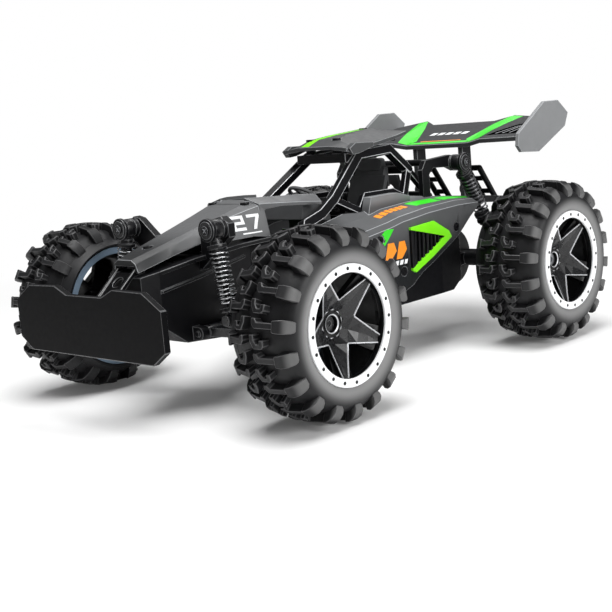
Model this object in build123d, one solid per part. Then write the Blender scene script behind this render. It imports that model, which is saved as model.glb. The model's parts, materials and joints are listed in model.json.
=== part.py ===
"""A 1:18 electric off-road buggy with sprung arms, a swinging rear gearbox, a roll cage and a wing.

Units are millimetres. The car faces -Y, its left side is +X, and z = 0 is the ground under the tyres.
Stations along the car are counted from the middle between the two axles. Each node is moved at export
so that the origin lies on the ground under the middle of the car's overall length.
"""

from build123d import *
import os
from math import atan2, cos, degrees, pi, radians, sin

os.makedirs("parts", exist_ok=True)

# ---------------------------------------------------------------- driving dimensions
wheelbase = 171.4
wheel_centre_x = 75.0        # middle of each tyre from the centre line
tyre_radius = 40.9
axle_z = 40.9                # height of both axles above the datum, the ground under 40.9 mm tyres
tyre_width = 39.0
tyre_wall = 3.0
lug_height = 3.8
lug_count = 18
rim_radius = 25.0            # outer bead seat and outside of the bead ring
ring_inner_radius = 21.4
back_rim_radius = 28.8       # inner bead seat, the wide one
rim_wall = 2.0
spoke_count = 5
hub_radius = 6.2
axle_radius = 2.0
nut_x = (79.3, 81.6)         # the wheel nuts, in the dish of the rims
wall = 2.0                   # moulded plastic of the chassis tub
skin = 1.8                   # moulded plastic of the body panels
fit = 0.05                   # radial clearance of a shaft in its bearing
gap = 0.3                    # clearance beside a piece that moves
seat_gap = 0.1               # clearance round a piece set into another

front_overhang = 60.7        # bumper face ahead of the front axle
rear_overhang = 62.5         # wing end plates behind the rear axle
underside = 28.0             # ground clearance of the tub
chassis_half_width = 40.0
nose_half_width = 14.0
bridge_ahead = (42.7, 21.7)  # the tub's rear cross member, ahead of the rear axle
bridge_top = 69.0

arm_pivot = (17.5, 35.0)     # x, z of the front arm's pivot
arm_pin_radius = 1.3
arm_barrel_half = 10.7
kingpin_x = 52.0
kingpin_radius = 2.0
steer_arm = 13.0             # tie rod pins behind the front axle
tie_rod_z = (43.8, 46.2)
tie_pin_radius = 1.0
tie_eye_radius = 2.8         # the tie rod's eyes are loose on their pins

front_axle = -wheelbase / 2
rear_axle = wheelbase / 2
front_end = front_axle - front_overhang
rear_end = rear_axle + rear_overhang
middle_y = (front_end + rear_end) / 2
bridge_y = tuple(rear_axle - ahead for ahead in bridge_ahead)
servo_pivot_y = front_axle + 2 * steer_arm
servo_top = 42.8
horn_z = 46.7                # underside of the servo arm

front_shock_top = (29.8, front_axle - 11.3, 80.6)
front_shock_foot = (36.3, front_axle - 11.3, 42.0)
rear_shock_top = (33.0, rear_axle - 7.7, 92.9)
rear_shock_foot = (33.0, rear_axle + 13.3, 59.5)
shock_pin_radius = 1.2
shock_cap_radius = 5.0
shock_slack = 0.4            # the lower eyes are loose on their pins
shock_eye_half = 2.2
spring_radius = 3.7
spring_wire = 0.6
spring_turns = 8

gear_module = 0.8
pinion_teeth, idler_teeth, idler_small_teeth, axle_gear_teeth = 10, 30, 12, 30
pinion_layer = (6.0, 10.0)   # x of the motor pinion and the idler's large wheel
axle_gear_layer = (11.0, 17.0)
case_x = (3.0, 18.5)         # closed side and cover side of the gearbox case
swing_pivot = (rear_axle - 47.7, 38.0)   # y, z of the gearbox's pivot
swing_pin_radius = 1.6
swing_arm_x = (26.0, 30.0)
motor_centre = (rear_axle - 32.0, 40.1)  # y, z
idler_centre = (rear_axle - 16.5, 44.1)
motor_radius, motor_length = 10.0, 25.0
axle_tube_radius = 4.5
axle_tube_end = 50.0

cage_base = (22.5, 83.4)     # x, z of the side frame's plane
cage_lean = 17.6             # degrees that the side frames lean inwards
cage_tube = 4.4
sill_tube = 3.4
stay_tube = 3.0
tower_x = (26.5, 29.5)       # rear shock tower's side plates
tower_leg = (rear_axle - 35.2, rear_axle - 29.2)
rail_x = (19.5, 23.5)        # rear shock tower's rails
wing_skin = 2.4
wing_half_width = 56.5
plate_skin = 2.0             # wing end plates
screw_radius = 2.1
screw_shank = 0.9


# ---------------------------------------------------------------- helpers
def put(name, *solids):
    """Write one node as a STEP file, moved to the origin on the ground under the middle of the car."""
    placed = [Pos(0, -middle_y, tyre_radius - axle_z) * solid for solid in solids]
    export_step(placed[0] if len(placed) == 1 else Compound(placed), f"parts/{name}.step")


def put_pair(name, *solids):
    """Write the left node and its mirror image on the right."""
    put(f"{name}_left", *solids)
    put(f"{name}_right", *[mirror(solid, about=Plane.YZ) for solid in solids])


def both(shape):
    """A solid with its mirror image across the car's middle plane."""
    return shape + mirror(shape, about=Plane.YZ)


def side_plane(x):
    return Plane.YZ.offset(x)


def front_plane(y):
    return Plane.XZ.offset(-y)


def side_prism(points, x0, x1):
    """Solid between x0 and x1 with an outline in the side view (y, z)."""
    return extrude(side_plane(x0) * Polygon(*points), amount=x1 - x0, dir=(1, 0, 0))


def front_prism(points, y0, y1):
    """Solid between y0 and y1 with an outline in the front view (x, z)."""
    return extrude(front_plane(y0) * Polygon(*points), amount=y1 - y0, dir=(0, 1, 0))


def top_prism(points, z0, z1):
    """Solid between z0 and z1 with an outline in the plan view (x, y)."""
    return extrude(Plane.XY.offset(z0) * Polygon(*points), amount=z1 - z0, dir=(0, 0, 1))


def mirrored(half):
    """Closed outline from its right-hand half, symmetric about the middle plane."""
    return list(half) + [(-x, v) for x, v in reversed(half)]


def block(x, y, z):
    """Box from three pairs of limits."""
    size = [abs(pair[1] - pair[0]) for pair in (x, y, z)]
    centre = [(pair[1] + pair[0]) / 2 for pair in (x, y, z)]
    return Pos(*centre) * Box(*size)


def rod(start, end, radius):
    """Round bar from one point to another."""
    along = Vector(*end) - Vector(*start)
    return extrude(Plane(origin=start, z_dir=along) * Circle(radius), amount=along.length)


def x_rod(x0, x1, y, z, radius):
    return rod((x0, y, z), (x1, y, z), radius)


def y_rod(y0, y1, x, z, radius):
    return rod((x, y0, z), (x, y1, z), radius)


def z_rod(z0, z1, x, y, radius):
    return rod((x, y, z0), (x, y, z1), radius)


def ruled(sections, plane_of):
    """Faceted solid through a list of (station, outline) sections."""
    return loft([plane_of(station) * Polygon(*points) for station, points in sections], ruled=True)


def strut(p, q, width):
    """Flat bar with round ends between two points of a sketch."""
    dx, dy = q[0] - p[0], q[1] - p[1]
    bar = Pos((p[0] + q[0]) / 2, (p[1] + q[1]) / 2) * Rot(Z=degrees(atan2(dy, dx)))
    return bar * SlotCenterToCenter((dx * dx + dy * dy) ** 0.5, width)


def chain(points, width):
    """Round-cornered band along a polyline."""
    band = strut(points[0], points[1], width)
    for p, q in zip(points[1:], points[2:]):
        band += strut(p, q, width)
    return band


def blend(table, y):
    """Values of a table of (y, values) at any station in between."""
    for (y0, low), (y1, high) in zip(table, table[1:]):
        if y <= y1:
            t = (y - y0) / (y1 - y0)
            return [a + (b - a) * t for a, b in zip(low, high)]
    return table[-1][1]


def screw(head, inwards, shank):
    """Pan-head screw: head seat point, direction it is driven in, and shank length."""
    seat, way = Vector(*head), Vector(*inwards)
    body = rod(seat, seat - way * 1.1, screw_radius) + rod(seat, seat + way * shank, screw_shank)
    return body - rod(seat - way * 0.6, seat - way * 2, 0.9)


# ---------------------------------------------------------------- wheels
def tyre():
    """Hollow mud tyre about the X axis, its outer sidewall towards +X."""
    half = tyre_width / 2
    crown = tyre_radius - lug_height
    carcass = revolve(Polygon(
        (half - 1.2, rim_radius + seat_gap), (half - 0.2, 29), (half - 0.6, crown - 4),
        (half - 3, crown - 1), (0, crown), (3 - half, crown - 1), (0.6 - half, crown - 4),
        (1.2 - half, back_rim_radius + seat_gap), (4 - half, back_rim_radius + seat_gap),
        (6 - half, crown - 1 - tyre_wall), (half - 6, crown - 1 - tyre_wall),
        (half - 4, rim_radius + seat_gap),
    ), axis=Axis.X)
    bite = crown - 1.6
    shoulder = Polygon(
        (half - 9.5, bite), (half - 9.5, tyre_radius), (half - 2.6, tyre_radius - 0.4),
        (half - 0.2, tyre_radius - 3), (half, crown - 4.4), (half - 1, crown - 4.8), (half - 4, bite),
    )
    lug = extrude(shoulder, amount=3.5, both=True)
    bar_height = tyre_radius - bite - 0.3
    bar = Pos(5.2, bite + bar_height / 2, 2.0) * Rot(Y=32) * Box(9.5, bar_height, 3.4)
    outer_lug = lug + bar
    inner_lug = mirror(outer_lug, about=Plane.YZ)
    pitch = 360 / lug_count
    lugs = [Rot(X=index * pitch) * outer_lug for index in range(lug_count)]
    lugs += [Rot(X=(index + 0.5) * pitch) * inner_lug for index in range(lug_count)]
    return carcass + lugs


def rim():
    """Deep-dish rim with five broad spokes, its face towards +X."""
    half = tyre_width / 2
    face = half - 1.7
    inner = rim_radius - rim_wall
    barrel = revolve(Polygon(
        (face, rim_radius), (-6, rim_radius), (5 - half, back_rim_radius), (1.2 - half, back_rim_radius),
        (1.2 - half, back_rim_radius - 2.5), (6 - half, back_rim_radius - 2.5), (-5, inner),
        (face - 4, inner), (face - 2.5, ring_inner_radius), (face, ring_inner_radius),
    ), axis=Axis.X)
    hub_face = face - 10
    dish = revolve(Polygon(
        (hub_face, 3.2), (hub_face, hub_radius), (face - 2.2, inner + 0.5), (face - 5.4, inner + 0.5),
        (hub_face - 3.2, hub_radius), (hub_face - 3.2, 3.2),
    ), axis=Axis.X)
    wide = radians(22)
    tip, edge = hub_radius + 2.4, inner - 0.2
    window = side_prism([
        (tip, 1.0), (edge * cos(wide), edge * sin(wide)), (edge, edge * sin(wide) * 0.3),
        (edge, -edge * sin(wide) * 0.3), (edge * cos(wide), -edge * sin(wide)), (tip, -1.0),
    ], 0, face)
    for index in range(spoke_count):
        dish -= Rot(X=46 + (index + 0.5) * 360 / spoke_count) * window
    hub = x_rod(-6, hub_face, 0, 0, hub_radius)
    bore = x_rod(-7, half, 0, 0, axle_radius + fit)
    pocket = x_rod(hub_face - 3.8, half, 0, 0, 3.5)
    return barrel + dish + hub - bore - pocket


def bead_ring():
    """Pale ring that covers the tyre's outer bead."""
    face = tyre_width / 2 - 1.7
    profile = Polygon(
        (face, ring_inner_radius), (face + 1.0, ring_inner_radius), (face + 1.3, ring_inner_radius + 0.5),
        (face + 1.3, rim_radius - 0.4), (face + 0.9, rim_radius), (face, rim_radius),
    )
    return revolve(profile, axis=Axis.X)


def make_wheels():
    one_tyre, one_rim, one_ring = tyre(), rim(), bead_ring()
    for end, y in (("front", front_axle), ("rear", rear_axle)):
        place = Pos(wheel_centre_x, y, axle_z)
        put_pair(f"tyre_{end}", place * one_tyre)
        put_pair(f"rim_{end}", place * one_rim)
        put_pair(f"bead_ring_{end}", place * one_ring)


# ---------------------------------------------------------------- chassis
nose_end = -124.0
tub_end = rear_axle - 19.7                # rear edge of the cheeks
bulkhead_y = rear_axle - 53.7             # front face of the wall behind the battery bay
nose_deck = [(nose_end, 63.3), (-98, 68.2), (-72, 71), (-50, 72)]
tub_side = nose_deck + [
    (-36, 71.6), (-31, 63), (20, 63), (bulkhead_y + 4, 70), (tub_end, 70), (tub_end, 33), (tub_end - 8, underside),
    (-62, underside), (-104, 31.5), (nose_end, 46),
]
tub_plan = [
    (nose_half_width - 3, nose_end), (nose_half_width, nose_end + 8), (nose_half_width, -62), (27, -38),
    (chassis_half_width - 2, -8), (chassis_half_width, 8), (chassis_half_width, tub_end - 18), (39, tub_end),
]
tub_hollow = [
    (nose_half_width - 5, nose_end + 2), (nose_half_width - wall, nose_end + 9), (nose_half_width - wall, -61.6),
    (25.2, -37), (36, -7.6), (38, 8.2), (38, tub_end - 18), (37, tub_end + 4),
]
deck_plan = [(10.8, nose_end + 1), (13.5, nose_end + 7), (18, -98), (21, -72), (23.6, -50), (23.6, -44)]
nose_rib = [(nose_end + 8, 55.4), (-94, 58.4), (-66, 63.4)]   # y, z of the bead along the nose's sides
hatch_x, hatch_y = (-20.0, 20.0), (-40.0, bulkhead_y)
tray_z = 50.0                             # roof of the battery bay
tray_top = tray_z + 1.6
floor_top = underside + wall
switch_x, switch_y = 27.0, 8.0
trim_y = -52.0
lever_z = (underside + 0.2, underside + 1.6)
web_top = lever_z[1] + gap + 1            # floor raised over the trim lever's recess
tower_front = front_shock_top[1] + 4.7    # front face of the front shock tower
tower_plate = 3.9
side_screws = [(-3.0, 62.5), (12.0, 45.3), (59.0, 61.0)]      # y, z
screw_pad_radius = 2.4


def chassis_tub():
    """Open moulded tub: narrow nose, wide belly, and two cheeks that carry the rear bridge."""
    body_zone = top_prism(mirrored(tub_plan), 0, 100)
    side = side_prism(tub_side, -60, 60)
    tub = (side & body_zone) - ((Pos(0, 0, wall) * side) & top_prism(mirrored(tub_hollow), 0, 100))
    tub -= block((-36, 36), (bulkhead_y + wall, tub_end + 14), (20, 100))
    deck = side_prism(nose_deck + [(y, z - skin) for y, z in reversed(nose_deck)], -60, 60)
    deck &= top_prism(mirrored(deck_plan), 0, 100)
    deck -= block((-9, 9), (nose_end + 20, -40), (50, 90))
    tub += deck
    tub += block((-60, 60), (bulkhead_y, bulkhead_y + wall), (underside + 1, tray_top)) & body_zone
    tub += block((-60, 60), (-44, bulkhead_y + wall), (tray_z, tray_top)) & body_zone
    tub += block((-60, 60), bridge_y, (bridge_top - 3, bridge_top)) & body_zone
    low, high = underside - 1, underside + 1.2
    tub -= block((hatch_x[0] + 2, hatch_x[1] - 2), (hatch_y[0] + 2, hatch_y[1] - 2), (low, floor_top + 1))
    tub -= block(hatch_x, hatch_y, (low, high))
    tub -= block((switch_x - 2.4, switch_x + 2.4), (switch_y - 5, switch_y + 5), (low, floor_top + 1))
    pocket = z_rod(low, lever_z[1] + gap, 0, trim_y, 6.0 + gap)
    for angle in (-22, 0, 22):
        pocket += Pos(0, trim_y) * Rot(Z=angle) * block((-2.2, 2.2), (-10.6, 0), (low, lever_z[1] + gap))
    tub += z_rod(floor_top - 1, web_top, 0, trim_y, 11.6)
    tub -= pocket + z_rod(low, floor_top + 4, 0, trim_y, 2.0 + gap)
    slot_y, slot_z = front_axle + steer_arm, sum(tie_rod_z) / 2
    tub -= block((-30, 30), (slot_y - 6, slot_y + 6), (slot_z - 4.2, slot_z + 4.2))
    groove = (tower_front - gap, tower_front + tower_plate + gap)
    tub -= front_prism([(-30, 90), (-30, 61.9), (30, 61.9), (30, 90)], *groove)
    lugs = None
    for y in (front_axle - steer_arm, front_axle + steer_arm):
        lug = block((13, arm_pivot[0]), (y - 2, y + 2), (arm_pivot[1] - 3, arm_pivot[1] + 3))
        lug += y_rod(y - 2, y + 2, *arm_pivot, 3.0)
        lugs = lug if lugs is None else lugs + lug
    lugs += y_rod(front_axle - 16, front_axle + 16, *arm_pivot, arm_pin_radius)
    for y, z in side_screws:
        near = min(flank_x(y - screw_pad_radius, z), flank_x(y + screw_pad_radius, z))
        lugs += x_rod(37.5, near - skin - seat_gap, y, z, screw_pad_radius)
    lugs += side_prism(nose_rib + [(y, z + 1.3) for y, z in reversed(nose_rib)], 13, nose_half_width + 1.2)
    tub += both(lugs)
    for y, z in side_screws:
        tub -= both(x_rod(38.3, 50, y, z, screw_shank + 0.1))
    return tub + x_rod(-38.5, 38.5, *swing_pivot, swing_pin_radius)


def make_chassis():
    put("chassis_tub", chassis_tub())
    (x0, x1), (y0, y1) = hatch_x, hatch_y
    door = block((x0 + 0.2, x1 - 0.2), (y0 + 0.2, y1 - 0.2), (underside, underside + 1.1))
    for index in range(4):
        door -= block((-10, 10), (y0 + 6 + index * 4, y0 + 8 + index * 4), (underside - 1, underside + 0.5))
    put("battery_door", door)
    cells = y_rod(y0 + 3, y1 - 3, -8.8, underside + 10.4, 9.0) + y_rod(y0 + 3, y1 - 3, 8.8, underside + 10.4, 9.0)
    put("battery_pack", cells + block((-8.8, 8.8), (y0 + 3, y1 - 3), (underside + 1.4, underside + 19.4)))
    board = block((-17, 17), (-40, -14), (tray_top + 2, tray_top + 3.6))
    for x in (-14, 14):
        for y in (-37, -17):
            board += z_rod(tray_top, tray_top + 2, x, y, 1.5)
    board += block((-8, 2), (-32, -22), (tray_top + 3.6, tray_top + 5.4))
    board += block((6, 13), (-36, -20), (tray_top + 3.6, tray_top + 7))
    put("circuit_board", board)
    knob = block((switch_x - 2.1, switch_x + 2.1), (switch_y - 4.6, switch_y - 0.6), (lever_z[0], floor_top + 0.2))
    knob += block((switch_x - 4, switch_x + 4), (switch_y - 7, switch_y + 2), (floor_top + 0.2, floor_top + 3))
    put("power_switch", knob)
    lever = z_rod(*lever_z, 0, trim_y, 6.0) + z_rod(lever_z[1], web_top - seat_gap, 0, trim_y, 2.0)
    lever += block((-1.6, 1.6), (trim_y - 10, trim_y), lever_z)
    put("trim_lever", lever)


strap_half_width = 6.6


def front_bumper():
    """Flat bash plate with a notched top edge, on a channel-shaped strap that rises to the nose."""
    face = [(12, 59), (20, 62.6), (39, 62.2), (50, 55.5), (50, 38.5), (42, 33)]
    plate = front_prism(mirrored(face), front_end, front_end + 3)
    back = front_end + 3
    under = [(nose_end + 6.5, 64.6), (nose_end, 63.4), (nose_end - 2, 61.5), (back, 46)]
    flange = [(back, 49.6), (nose_end + 1.4, 67), (nose_end + 6.5, 67.4)]
    web = [(back, 47.9), (nose_end - 2, 63.4), (nose_end, 65.1), (nose_end + 6.5, 66)]
    strap = side_prism(under + web, -strap_half_width, strap_half_width)
    strap += both(side_prism(under + flange, strap_half_width - 1.4, strap_half_width))
    strap -= rod((0, nose_end - 1, 57), (0, nose_end - 6, 66), 2.6)
    return plate + strap


# ---------------------------------------------------------------- front end
def front_shock_tower():
    """Wide-eared plate across the nose, with a pin and a round cap for each front shock."""
    x, y, z = front_shock_top
    ear = [
        (11.6, 62.2), (15, 62.2), (24, 69), (x + 4.4, z - 4), (x + 4.4, z + 2), (x, z + 5), (x - 4.3, z + 4),
        (15.4, 76.5), (15.4, 69), (11.6, 68),
    ]
    plate = front_prism(mirrored(ear), tower_front, tower_front + tower_plate)
    boss = y_rod(y + shock_eye_half + gap, tower_front, x, z, 4.3)
    pin = y_rod(y - 4.2, tower_front, x, z, shock_pin_radius)
    cap = y_rod(y - 4.3, y - shock_eye_half - gap, x, z, shock_cap_radius)
    cap -= y_rod(y - 4.4, y - 3.6, x, z, 1.3)
    return plate + both(boss + pin + cap)


def front_arm():
    """Lower arm: pivot barrel, tapered plate, fork for the knuckle and a pin for the shock."""
    px, pz = arm_pivot
    half = arm_barrel_half
    y = front_axle
    plate = top_prism([
        (px, y - half), (32, y - 8.5), (47, y - 4.5), (kingpin_x, y - 4.5), (kingpin_x, y + 4.5), (47, y + 4.5),
        (32, y + 8.5), (px, y + half),
    ], pz - 2, pz + 2)
    plate -= top_prism([(24, y - 5), (35, y - 3), (35, y + 3), (24, y + 5)], 0, 100)
    plate += z_rod(pz - 2, pz + 2, kingpin_x, y, 4.5)
    plate += block((43.5, 46.5), (y - 4, y + 4), (pz, 48))
    plate += block((43.5, kingpin_x), (y - 4, y + 4), (45, 48)) + z_rod(45, 48, kingpin_x, y, 4.0)
    plate += z_rod(pz, 46, kingpin_x, y, kingpin_radius)
    plate += y_rod(y - half, y + half, px, pz, 3.0)
    x, sy, sz = front_shock_foot
    plate += block((x - 2.5, x + 2.5), (sy + 3.8, y - 2), (pz, sz)) + y_rod(sy + 3.8, y - 4, x, sz, 2.5)
    plate += y_rod(sy - 4, y - 4, x, sz, shock_pin_radius) + y_rod(sy - 4.2, sy - shock_eye_half - gap, x, sz, 2.4)
    return plate - y_rod(y - half - 1, y + half + 1, px, pz, arm_pin_radius + fit)


def knuckle():
    """Steering knuckle: barrel on the kingpin, spindle for the wheel and an arm for the tie rod."""
    y = front_axle
    barrel = z_rod(37.3, 44.7, kingpin_x, y, 4.0) + x_rod(kingpin_x, 68.7, y, axle_z, 3.4)
    arm = block((kingpin_x - 2.5, kingpin_x + 2.5), (y, y + steer_arm), (37.3, 39.6))
    arm += z_rod(37.3, 39.6, kingpin_x, y + steer_arm, 2.5)
    pin = z_rod(39.6, 48.0, kingpin_x, y + steer_arm, tie_pin_radius)
    spindle = x_rod(68.7, nut_x[1] - 0.6, y, axle_z, axle_radius) + x_rod(*nut_x, y, axle_z, 3.1)
    spindle -= x_rod(nut_x[1] - 1, nut_x[1] + 1, y, axle_z, 1.2)
    return barrel + arm + pin + spindle - z_rod(30, 50, kingpin_x, y, kingpin_radius + fit)


def make_front_end():
    put("front_bumper", front_bumper())
    put("front_shock_tower", front_shock_tower())
    put_pair("front_arm", front_arm())
    put_pair("knuckle", knuckle())
    y = front_axle + steer_arm
    low, high = tie_rod_z
    tie = block((-kingpin_x, kingpin_x), (y - 1.8, y + 1.8), tie_rod_z) + block((-5, 5), (y - 4, y + 4), tie_rod_z)
    tie += both(z_rod(low, high, kingpin_x, y, tie_eye_radius + 1.6))
    tie -= both(z_rod(0, 90, kingpin_x, y, tie_eye_radius))
    slot = extrude(Pos(0, y) * Rot(Z=90) * SlotOverall(5.2, 2 * (tie_pin_radius + gap)), amount=90)
    put("tie_rod", tie - slot)
    servo = block((-10, 10), (servo_pivot_y - 1.8, servo_pivot_y + 13.7), (web_top, servo_top))
    put("steering_servo", servo + z_rod(servo_top, horn_z - seat_gap, 0, servo_pivot_y, 2.6))
    horn = extrude(Plane.XY.offset(horn_z) * strut((0, y), (0, servo_pivot_y), 5), amount=2.3)
    put("servo_arm", horn + z_rod(43, 47, 0, y, tie_pin_radius))


# ---------------------------------------------------------------- shocks
def shock_pieces(top, foot, reach):
    """Cylinder, rod and spring of one shock, hung below the origin with the pivot along Y."""
    length = (Vector(*top) - Vector(*foot)).length
    eye = 2 * shock_eye_half
    cylinder = Rot(X=90) * Cylinder(4.3, eye) + z_rod(-6, -2.5, 0, 0, 2.1)
    cylinder += z_rod(-reach, -5, 0, 0, 2.7) + z_rod(-8.4, -6.6, 0, 0, 4.25)
    cylinder -= Rot(X=90) * Cylinder(shock_pin_radius + fit, eye + 1)
    cylinder -= z_rod(-reach - 1, -5, 0, 0, 1.3 + fit)
    plunger = Pos(0, 0, -length) * Rot(X=90) * Cylinder(3.2, eye) + z_rod(2.2 - length, -14, 0, 0, 1.3)
    plunger += z_rod(2.4 - length, 5.4 - length, 0, 0, 4.25) & Pos(0, 0, 5 - length) * Box(9, 9, 3)
    plunger -= Pos(0, 0, -length) * Rot(X=90) * Cylinder(shock_pin_radius + shock_slack, eye + 1)
    spring_length = length - 8.4 - 5.4
    rise = spring_length - 2 * spring_wire - 0.1
    path = Helix(rise / spring_turns, rise, spring_radius)
    start = Plane(origin=path @ 0, z_dir=path % 0)
    spring = sweep(start * RegularPolygon(spring_wire * 1.1, 6), path=path, is_frenet=True)
    spring = Pos(0, 0, 5.4 - length + spring_wire + 0.05) * spring
    return cylinder, plunger, spring


def make_shocks():
    top, foot = front_shock_top, front_shock_foot
    lean = degrees(atan2(foot[0] - top[0], top[2] - foot[2]))
    names = ("front_shock", "front_shock_rod", "front_spring")
    for name, piece in zip(names, shock_pieces(top, foot, 23.4)):
        put_pair(name, Pos(*top) * Rot(Y=-lean) * piece)
    top, foot = rear_shock_top, rear_shock_foot
    lean = degrees(atan2(foot[1] - top[1], top[2] - foot[2]))
    names = ("rear_shock", "rear_shock_rod", "rear_spring")
    for name, piece in zip(names, shock_pieces(top, foot, 22.4)):
        put_pair(name, Pos(*top) * Rot(X=lean) * Rot(Z=90) * piece)


# ---------------------------------------------------------------- gearbox
def gear(teeth, layer, centre, phase, bore):
    """Spur gear about an X axis with one tooth at the phase angle, slimmed for free running."""
    pitch_radius = gear_module * teeth / 2
    tip, root = pitch_radius + 0.8 * gear_module, pitch_radius - 1.2 * gear_module
    points = []
    for index in range(teeth):
        middle = radians(phase) + index * 2 * pi / teeth
        for radius, half_width in ((root, -0.85), (tip, -0.26), (tip, 0.26), (root, 0.85)):
            angle = middle + half_width / radius
            points.append((centre[0] + radius * cos(angle), centre[1] + radius * sin(angle)))
    blank = side_prism(points, *layer)
    return blank - x_rod(layer[0] - 1, layer[1] + 1, *centre, bore) if bore else blank


def heading(start, end):
    return degrees(atan2(end[1] - start[1], end[0] - start[0]))


def case_outline(margin):
    """Side-view outline round the three gears, as a sketch."""
    sketch = Pos(*motor_centre) * Circle(8 + margin)
    for centre in (idler_centre, (rear_axle, axle_z)):
        sketch += Pos(*centre) * Circle(13.3 + margin)
    top = [(motor_centre[0], motor_centre[1] + 7.5 + margin), (idler_centre[0] - 4, idler_centre[1] + 12 + margin)]
    return sketch + Polygon(*top, idler_centre, motor_centre) + Polygon(
        motor_centre, idler_centre, (rear_axle, axle_z), (rear_axle - 5, axle_z - 12 - margin),
        (motor_centre[0] + 2, motor_centre[1] - 7.5 - margin))


def shock_bracket(x0, x1):
    """Upright from the axle tube to the rear shock's lower pin."""
    _, y, z = rear_shock_foot
    plate = side_prism([
        (rear_axle - 4, axle_z), (rear_axle + 4.4, axle_z - 1), (y + 3.5, z - 2), (y + 3.5, z + 2.5),
        (y, z + 3.8), (y - 3.5, z + 1.5),
    ], x0, x1)
    return plate - x_rod(x0 - 1, x1 + 1, rear_axle, axle_z, axle_tube_radius - 1)


def half_swing(side):
    """One axle tube with its bearing, trailing arm and shock bracket; side is +1 for the left."""
    a, b = swing_arm_x
    arm = extrude(side_plane(a) * strut(swing_pivot, (rear_axle, axle_z), 6.4), amount=b - a, dir=(1, 0, 0))
    arm -= x_rod(a - 1, b + 1, rear_axle, axle_z, axle_tube_radius - 1)
    x = rear_shock_foot[0]
    bracket = shock_bracket(x + 4.6, x + 7.6)
    bracket += x_rod(x - 3.8, x + 5, *rear_shock_foot[1:], shock_pin_radius)
    bracket += x_rod(x + shock_eye_half + gap, x + 5, *rear_shock_foot[1:], 2.6)
    bracket += x_rod(x - 3.8, x - shock_eye_half - gap, *rear_shock_foot[1:], 2.3)
    piece = arm + bracket
    return piece if side > 0 else mirror(piece, about=Plane.YZ)


def make_gearbox():
    low, high = case_x
    axle = (rear_axle, axle_z)
    cavity = extrude(side_plane(low + 2) * case_outline(0), amount=20, dir=(1, 0, 0))
    case = extrude(side_plane(low) * case_outline(1.8), amount=high - low, dir=(1, 0, 0)) - cavity
    web = extrude(side_plane(low) * strut(swing_pivot, motor_centre, 8), amount=2, dir=(1, 0, 0))
    case += web + x_rod(-swing_arm_x[1], 22, *swing_pivot, 3.2) + x_rod(-axle_tube_end, low, *axle, axle_tube_radius)
    case += half_swing(-1) + x_rod(low, high - 1, *idler_centre, 1.2)
    case -= x_rod(-60, 30, *swing_pivot, swing_pin_radius + fit)
    case -= x_rod(-axle_tube_end - 1, low + 3, *axle, axle_radius + fit)
    case -= x_rod(low - 1, low + 3, *motor_centre, 3.0)
    put("gearbox_case", case)
    cover = extrude(side_plane(high) * case_outline(1.8), amount=2, dir=(1, 0, 0))
    cover += x_rod(high, axle_tube_end, *axle, axle_tube_radius) + half_swing(1)
    cover += x_rod(22.3, swing_arm_x[1], *swing_pivot, 3.2)
    cover -= x_rod(20.8, 60, *swing_pivot, swing_pin_radius + fit) + x_rod(high - 1, 60, *axle, axle_radius + fit)
    put("gearbox_cover", cover)
    motor = x_rod(low - motor_length, low, *motor_centre, motor_radius) - block((-60, 60), (0, 99), (49, 60))
    motor += x_rod(low, low + 2, *motor_centre, 2.9) + x_rod(low - motor_length - 2, low, *motor_centre, 3)
    put("drive_motor", motor + x_rod(low, pinion_layer[0] + 0.4, *motor_centre, 0.9))
    meets = heading(motor_centre, idler_centre)
    pinion = gear(pinion_teeth, pinion_layer, motor_centre, meets, 1.0 - 0.1 + fit)
    put("motor_pinion", pinion)
    hole = 1.2 + fit
    idler = gear(idler_teeth, pinion_layer, idler_centre, meets + 180 + 180 / idler_teeth, 0)
    drives = heading(idler_centre, axle)
    idler += gear(idler_small_teeth, (pinion_layer[1], axle_gear_layer[1]), idler_centre, drives, 0)
    idler += x_rod(low + 2 + gap, pinion_layer[0], *idler_centre, 3)
    put("idler_gear", idler - x_rod(0, 20, *idler_centre, hole))
    wheel = gear(axle_gear_teeth, axle_gear_layer, axle, drives + 180 + 180 / axle_gear_teeth, axle_radius)
    put("axle_gear", wheel)
    shaft = x_rod(0.6 - nut_x[1], nut_x[1] - 0.6, *axle, axle_radius)
    shaft += both(x_rod(axle_tube_end + gap, 68.8, *axle, 4.0) + x_rod(*nut_x, *axle, 3.1))
    put("rear_axle", shaft - both(x_rod(nut_x[1] - 1, nut_x[1] + 1, *axle, 1.2)))


# ---------------------------------------------------------------- body shell
hood_stations = [
    (-123.0, (4.5, 70.7, 7.2, 69.0, 8.8, 65.1)),
    (-104.5, (6.5, 75.5, 9.0, 74.0, 12.2, 70.3)),
    (-89.0, (8.0, 79.6, 10.6, 78.2, 14.5, 73.9)),
    (-75.0, (9.5, 83.3, 12.5, 81.9, 17.0, 72.5)),
    (-63.0, (11.0, 86.6, 15.0, 84.6, 19.5, 72.8)),
    (-54.5, (12.0, 88.6, 18.0, 86.4, 21.0, 71.6)),
]
cowl_stations = [                         # y, then inner x, z, outer x, z and thickness of the rails
    (-57.0, (8.0, 89.6, 17.6, 86.8, 3.0)),
    (-46.0, (15.5, 89.2, 21.3, 86.2, 1.6)),
    (-31.0, (19.0, 88.4, 23.2, 85.0, 1.6)),
    (-21.5, (20.0, 87.6, 23.8, 84.0, 1.6)),
]
hood_screws = [(10.9, -59.5, 86.7), (-10.9, -59.5, 86.7), (0.0, -109.6, 73.6)]


def deck_z(y):
    """Height of the nose deck at a station."""
    return blend([(station, (z,)) for station, z in nose_deck], y)[0]


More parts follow.
